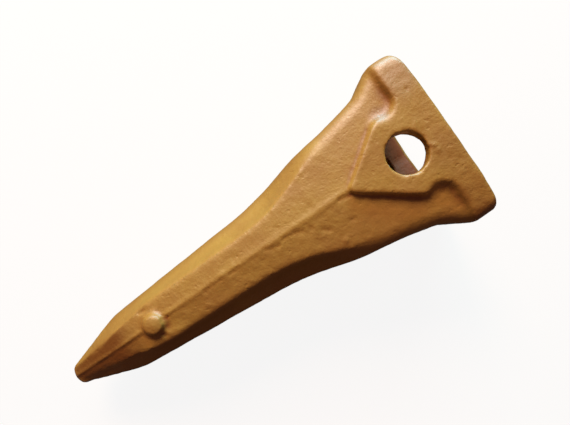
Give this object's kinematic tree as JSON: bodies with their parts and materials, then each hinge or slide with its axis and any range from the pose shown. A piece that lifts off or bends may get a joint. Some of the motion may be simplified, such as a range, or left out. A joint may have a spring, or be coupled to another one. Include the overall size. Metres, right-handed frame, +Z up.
{
  "type": "rock bucket tooth",
  "caption": "Cast steel rock tooth for an excavator bucket: long tapering blade with a chisel point, flared socket with raised rim and pad, and a cross hole for its retaining pin.",
  "frame": {"origin": "bottom centre of the bounding box, with the tooth lying on one side, on its lower pad and lower boss", "axes": "+X towards the mouth of the socket and -X towards the point, +Y across the tooth's height, from lip to lip, and +Z up, across its width, 3.9 degrees off the direction of the pin hole"},
  "size_m": [0.2772, 0.112, 0.0926],
  "materials": {
    "ochre_paint": "thin ochre yellow paint, half gloss, over a sand-cast steel surface with its grain and small pits"
  },
  "bodies": {
    "root": {"rock_tooth": "ochre_paint"}
  },
  "joints": []
}
